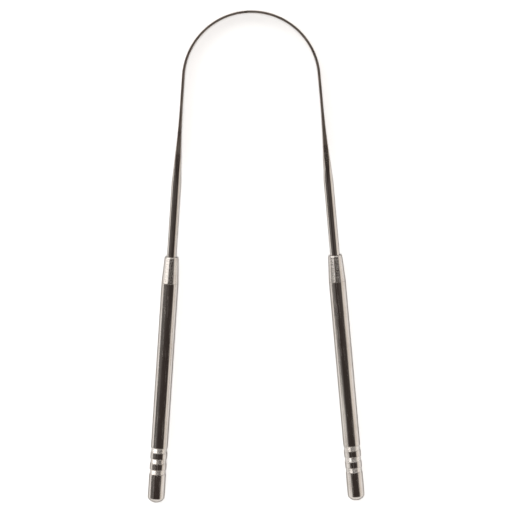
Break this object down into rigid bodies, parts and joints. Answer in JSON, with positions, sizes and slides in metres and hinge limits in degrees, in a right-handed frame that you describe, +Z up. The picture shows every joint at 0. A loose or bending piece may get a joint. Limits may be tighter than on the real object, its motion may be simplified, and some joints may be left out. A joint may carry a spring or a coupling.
{
  "type": "tongue scraper",
  "caption": "U-shaped steel tongue scraper: a wire rolled into a flat band at the bend, flaring to round stems that enter slim round handles with grooved, domed ends.",
  "frame": {"origin": "middle of the footprint, on the surface that the scraper lies on", "axes": "+Y along the scraper towards the crown of the bend, +X to the right seen from above, +Z up, square to the plane of the U"},
  "size_m": [0.0658, 0.1484, 0.005],
  "materials": {
    "loop_steel": "polished, with faint rolling marks on the flats",
    "ferrule_steel": "turned satin",
    "tube_steel": "bright polished",
    "butt_steel": "polished lands and dome, turned grooves"
  },
  "bodies": {
    "root": {"scraper_loop": "loop_steel", "left_ferrule": "ferrule_steel", "left_grip_tube": "tube_steel", "left_end_butt": "butt_steel", "right_ferrule": "ferrule_steel", "right_grip_tube": "tube_steel", "right_end_butt": "butt_steel"}
  },
  "joints": []
}
